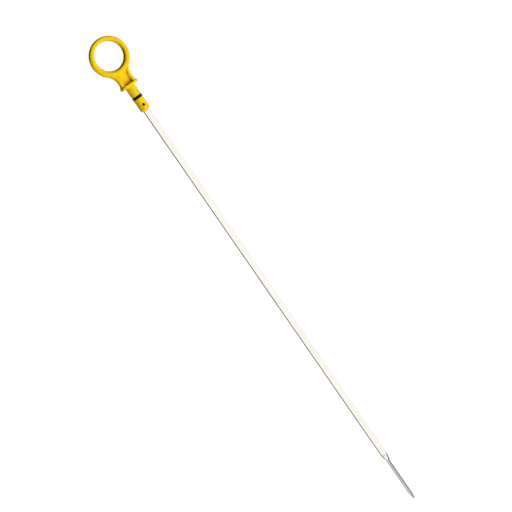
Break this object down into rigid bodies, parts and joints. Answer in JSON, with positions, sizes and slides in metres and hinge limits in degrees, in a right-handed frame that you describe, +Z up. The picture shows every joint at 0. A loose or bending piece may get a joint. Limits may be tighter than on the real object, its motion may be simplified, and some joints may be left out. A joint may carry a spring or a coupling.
{
  "type": "engine oil dipstick",
  "caption": "Engine oil dipstick: moulded ring handle with stop plate and sealed plug on a long flat steel blade, turned on edge near its tip.",
  "frame": {"origin": "on the floor that the dipstick lies on, under the middle of its length", "axes": "+X along the stick from the finger ring to the tip, +Y across the ring, +Z up; the stick's own axis falls 0.24 degrees towards the tip, as it lies"},
  "size_m": [0.5333, 0.038, 0.0103],
  "materials": {
    "yellow_plastic": "satin moulded",
    "black_rubber": "smooth",
    "blade_steel": "bright rolled strip",
    "pin_steel": "dark spring steel"
  },
  "bodies": {
    "root": {"handle": "yellow_plastic", "o_ring": "black_rubber", "blade": "blade_steel", "retaining_pin": "pin_steel"}
  },
  "joints": []
}
